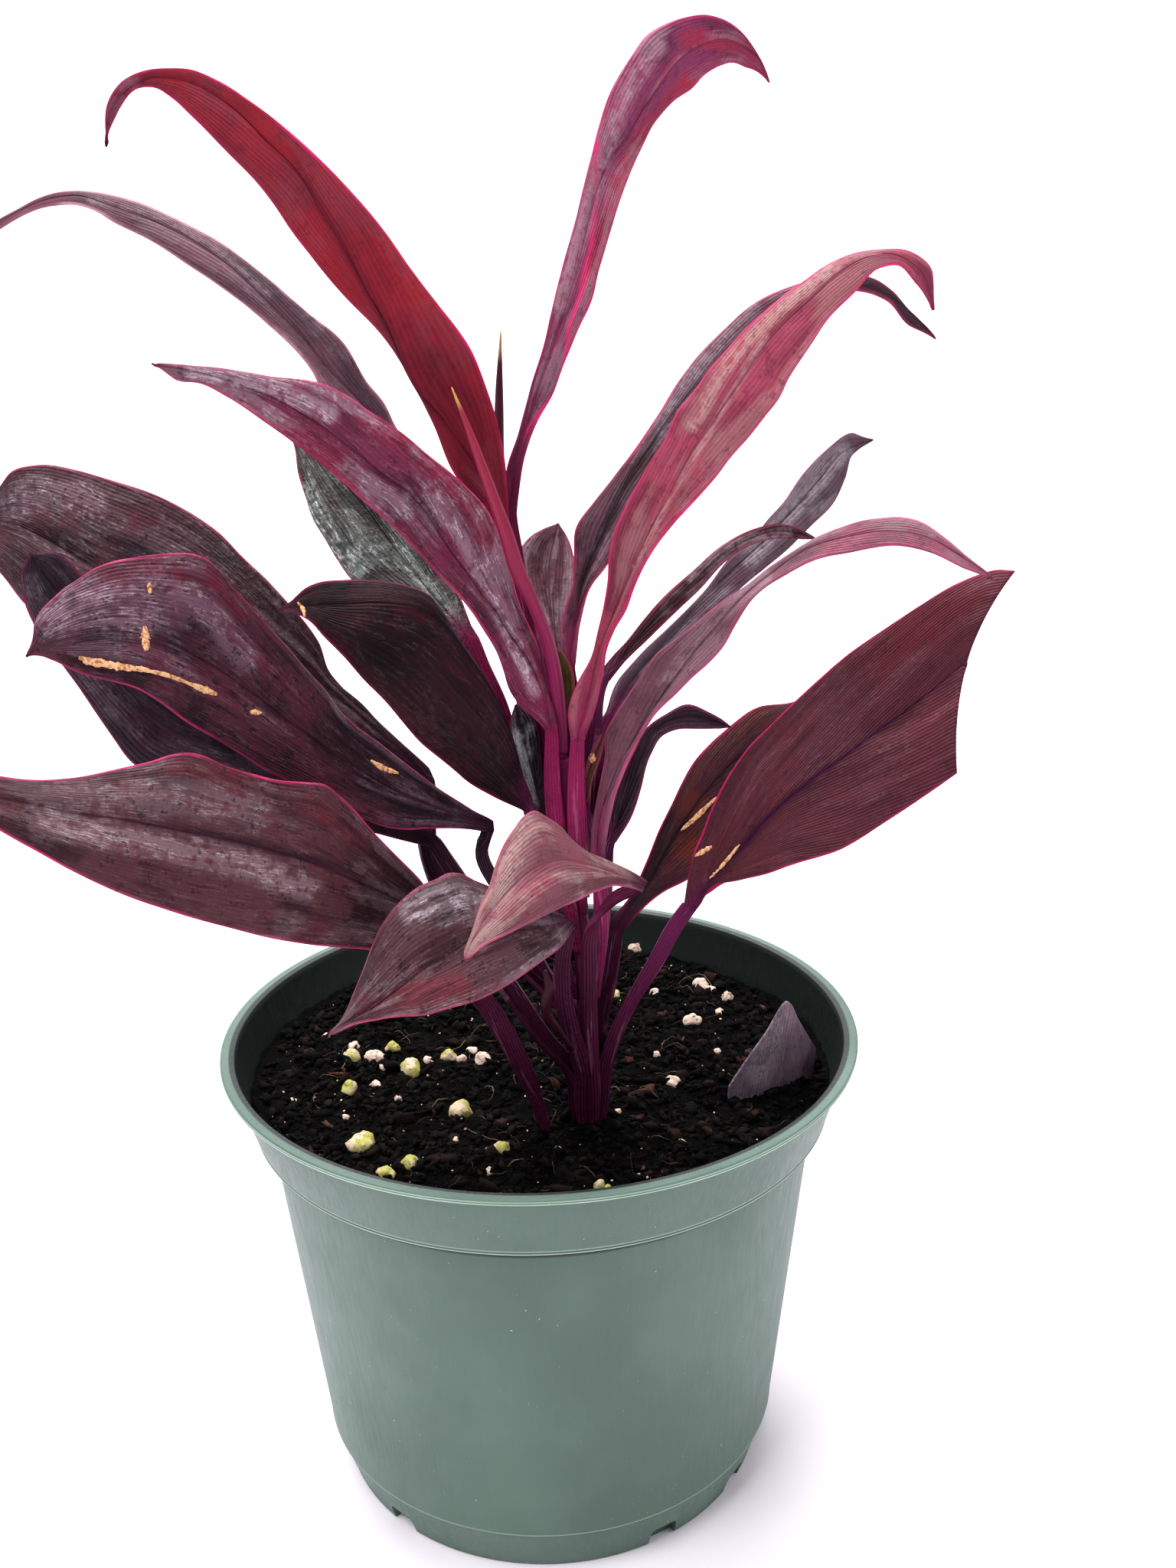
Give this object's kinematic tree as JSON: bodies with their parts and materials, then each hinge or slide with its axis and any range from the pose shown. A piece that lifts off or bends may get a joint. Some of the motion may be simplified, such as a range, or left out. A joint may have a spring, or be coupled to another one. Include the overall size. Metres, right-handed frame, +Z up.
{
  "type": "potted ti plant",
  "caption": "Ti plant with long purple-red leaves on channelled stalks, standing in black potting mix in a tapered green plastic nursery pot.",
  "frame": {"origin": "middle of the pot's underside, on the floor", "axes": "+Z up the pot's axis; -Y towards the side seen in the picture; +X to its right"},
  "size_m": [0.246, 0.2007, 0.3663],
  "materials": {
    "pot": "matte grey-green moulded plastic with fine scratches",
    "soil": "dark potting mix, dull; fabric stands in for soil",
    "cane": "purple cane",
    "furled": "magenta furled leaf",
    "red_leaf": "satin red leaf with a pink margin",
    "mauve_leaf": "satin mauve leaf",
    "glossy_leaf": "glossy leaf with silver streaks",
    "grey_leaf": "glossy grey-green leaf with dark blotches",
    "dark_leaf": "dark purple leaf with a soft sheen",
    "speckled_leaf": "dark leaf with glossy specks",
    "scarred_leaf": "dark rosy leaf with tan scars",
    "slate_leaf": "slate purple leaf",
    "plum_leaf": "plum leaf with a pale gloss along its midrib",
    "silvered_leaf": "silver-streaked plum leaf",
    "rosy_leaf": "rosy leaf, soft sheen",
    "veined_leaf": "dark red-purple leaf with fine parallel veins",
    "dusky_leaf": "dusky purple-grey leaf",
    "rose_leaf": "rose leaf with a crimson edge",
    "rose_grey_leaf": "rose-grey leaf with a purple midrib",
    "olive_leaf": "small olive leaf"
  },
  "bodies": {
    "root": {"pot": "pot", "soil": "soil", "stem": "cane", "leaf_tall_red": "red_leaf", "leaf_long_arching": "mauve_leaf", "leaf_long_glossy": "glossy_leaf", "leaf_grey_glossy": "grey_leaf", "leaf_dark_curled": "dark_leaf", "leaf_far_left": "speckled_leaf", "leaf_scarred": "scarred_leaf", "leaf_folded": "slate_leaf", "leaf_low_left": "plum_leaf", "leaf_low_front": "silvered_leaf", "leaf_front_rosy": "rosy_leaf", "leaf_big_cut": "veined_leaf", "leaf_behind_cut": "veined_leaf", "leaf_upper_right": "rosy_leaf", "leaf_dusky": "dusky_leaf", "leaf_tall_centre": "rose_leaf", "leaf_short_centre": "dusky_leaf", "leaf_narrow_dark": "dark_leaf", "leaf_hooked_right": "dusky_leaf", "leaf_arching_rosy": "rose_grey_leaf", "leaf_behind_right": "dark_leaf", "leaf_torn_strip": "dusky_leaf", "leaf_short_glossy": "slate_leaf", "leaf_olive": "olive_leaf", "spear": "furled", "spike": "dark_leaf", "baby_leaf": "furled", "leaf_piece": "slate_leaf"}
  },
  "joints": []
}
